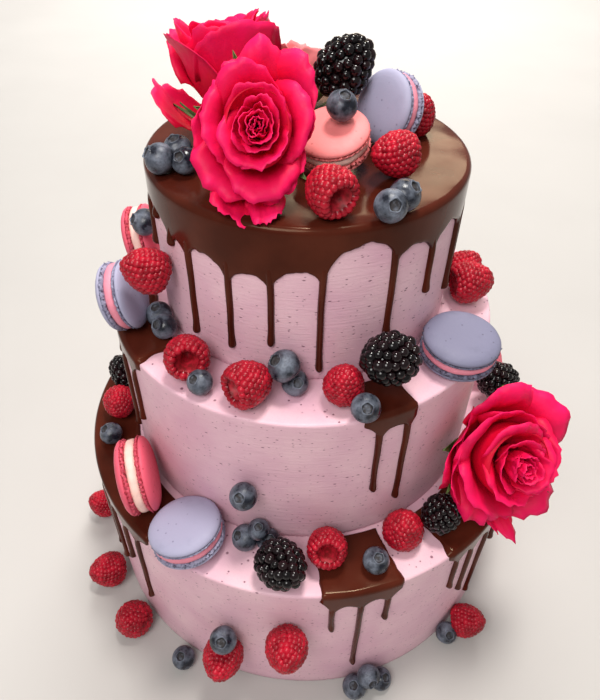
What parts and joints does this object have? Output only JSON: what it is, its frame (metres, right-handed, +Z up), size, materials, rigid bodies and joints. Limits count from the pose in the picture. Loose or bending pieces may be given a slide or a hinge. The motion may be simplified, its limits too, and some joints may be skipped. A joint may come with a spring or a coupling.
{
  "type": "layer cake",
  "caption": "Tiered round layer cake in pink buttercream with chocolate ganache drips, topped with berries, macarons and roses; stands on its flat foot.",
  "frame": {"origin": "centre of the bottom tier's round foot, on the surface that the cake stands on", "axes": "+Z up, -Y towards the front that the picture shows, +X to the right seen from the front"},
  "size_m": [0.3052, 0.3028, 0.3502],
  "materials": {
    "buttercream": "smooth pale mauve-pink buttercream, faint drag lines from the scraper",
    "ganache": "glossy dark chocolate ganache",
    "raspberry": "red raspberry drupelets, satin sheen",
    "blueberry": "blue-grey blueberry skin with a waxy bloom",
    "bramble": "near-black purple bramble drupelets, glossy",
    "macaron_pink": "pink macaron shells with a ragged foot and a pale filling",
    "macaron_lilac": "lilac macaron shells with a ragged foot and a pink filling",
    "rose": "crimson-pink rose petals, soft satin",
    "rose_pale": "pale salmon rose petals, soft satin"
  },
  "bodies": {
    "root": {"tier_bottom": "buttercream", "tier_middle": "buttercream", "tier_top": "buttercream", "ganache_top": "ganache", "ganache_middle_left": "ganache", "ganache_middle_right": "ganache", "ganache_bottom_left": "ganache", "ganache_bottom_front": "ganache", "ganache_bottom_right": "ganache", "rose_top_front": "rose", "rose_top_back": "rose", "rose_top_rear": "rose_pale", "rose_side": "rose", "macaron_pink_top": "macaron_pink", "macaron_lilac_top": "macaron_lilac", "macaron_pink_middle": "macaron_pink", "macaron_lilac_middle": "macaron_lilac", "macaron_lilac_right": "macaron_lilac", "macaron_pink_bottom": "macaron_pink", "macaron_lilac_bottom": "macaron_lilac", "macaron_pink_right": "macaron_pink", "raspberry_top_front": "raspberry", "raspberry_top_right": "raspberry", "raspberry_top_back": "raspberry", "raspberry_middle_left": "raspberry", "raspberry_middle_front": "raspberry", "raspberry_middle_tip": "raspberry", "raspberry_bottom_left": "raspberry", "raspberry_bottom_front": "raspberry", "raspberry_bottom_tip": "raspberry", "raspberry_under_rose": "raspberry", "raspberry_foot_left": "raspberry", "raspberry_foot_corner": "raspberry", "raspberry_foot_front": "raspberry", "raspberry_wall_front": "raspberry", "bramble_top": "bramble", "bramble_middle": "bramble", "bramble_bottom_left": "bramble", "bramble_bottom_front": "bramble", "bramble_bottom_right": "bramble", "bramble_right": "bramble", "blueberry_macaron": "blueberry", "blueberry_middle_left": "blueberry", "blueberry_middle_front": "blueberry", "blueberry_bottom_left": "blueberry", "blueberry_wall": "blueberry", "blueberry_bottom_front": "blueberry", "blueberry_foot": "blueberry", "blueberries_top_left": "blueberry", "blueberries_top_right": "blueberry", "blueberries_middle_left": "blueberry", "blueberries_middle_front": "blueberry", "berries_middle_corner": "raspberry", "raspberries_middle_right": "raspberry", "blueberries_bottom_front": "blueberry", "berries_wall_front": "raspberry", "blueberries_foot": "blueberry", "berries_foot_right": "raspberry", "berries_back_middle": "raspberry", "berries_back_bottom": "raspberry"}
  },
  "joints": []
}
